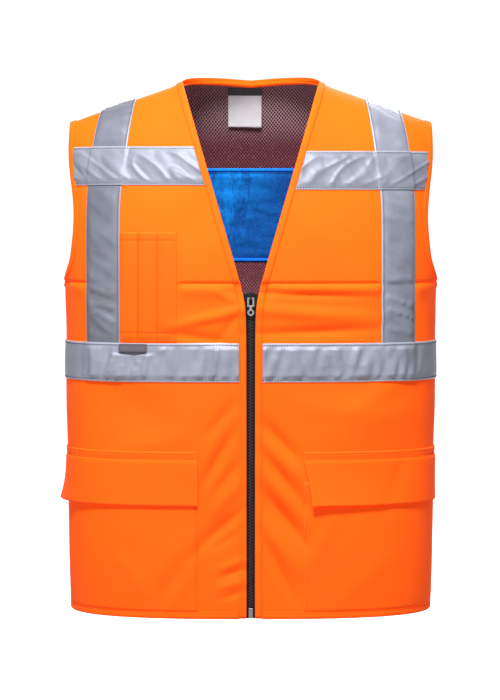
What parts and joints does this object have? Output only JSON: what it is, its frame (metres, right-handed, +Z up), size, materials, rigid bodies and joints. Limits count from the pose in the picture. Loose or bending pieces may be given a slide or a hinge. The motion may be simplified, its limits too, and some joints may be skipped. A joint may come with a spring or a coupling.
{
  "type": "cooling vest",
  "caption": "Sleeveless orange high-visibility work vest with silver tapes, pockets, a front zip and a blue evaporative cooling panel inside the back.",
  "frame": {"origin": "midway between the shoulders, at the height where the middle of each shoulder seam rests on the wearer", "axes": "+Z up, +X towards the wearer's left, the front faces -Y"},
  "size_m": [0.5105, 0.2409, 0.7102],
  "materials": {
    "orange_cloth": "fluorescent orange woven polyester",
    "orange_binding": "folded orange binding, stitched",
    "reflective_tape": "silver-grey retroreflective tape",
    "mesh_lining": "burgundy and black knitted mesh",
    "cooling_cloth": "blue towelling-like cooling cloth",
    "cooling_piping": "bright blue piping",
    "label_cloth": "plain white woven label with a black head",
    "tab_cloth": "plain dark grey woven tab",
    "zip_cloth": "black woven zip tape",
    "zip_chain": "dark grey moulded zip coil",
    "zip_slider": "black painted slider",
    "zip_pull": "bright silver metal pull",
    "zip_box": "grey metal box"
  },
  "bodies": {
    "vest": {"front_panel_right": "orange_cloth", "front_panel_left": "orange_cloth", "back_panel": "orange_cloth", "back_lining": "mesh_lining", "cooling_panel": "cooling_cloth", "cooling_panel_top_piping": "cooling_piping", "cooling_panel_bottom_piping": "cooling_piping", "neck_label": "label_cloth", "front_binding_right": "orange_binding", "front_binding_left": "orange_binding", "armhole_binding_right": "orange_binding", "armhole_binding_left": "orange_binding", "back_neck_binding": "orange_binding", "hem_binding": "orange_binding", "waist_tape": "reflective_tape", "chest_tape_right": "reflective_tape", "chest_tape_left": "reflective_tape", "brace_right": "reflective_tape", "brace_left": "reflective_tape", "pen_pocket": "orange_cloth", "side_tab": "tab_cloth", "pocket_bag_right": "orange_cloth", "pocket_bag_left": "orange_cloth", "pocket_flap_right": "orange_cloth", "pocket_flap_left": "orange_cloth", "zip_tape_right": "zip_cloth", "zip_tape_left": "zip_cloth", "zip_chain": "zip_chain", "zip_slider": "zip_slider", "zip_bottom_box": "zip_box"},
    "pull": {"zip_pull": "zip_pull"}
  },
  "joints": [
    {"name": "pull_swing", "type": "hinge", "parent": "vest", "child": "pull", "pos_m": [0, -0.11389, -0.25547], "axis": [-1, 0, 0], "range_deg": [0, 150]}
  ]
}
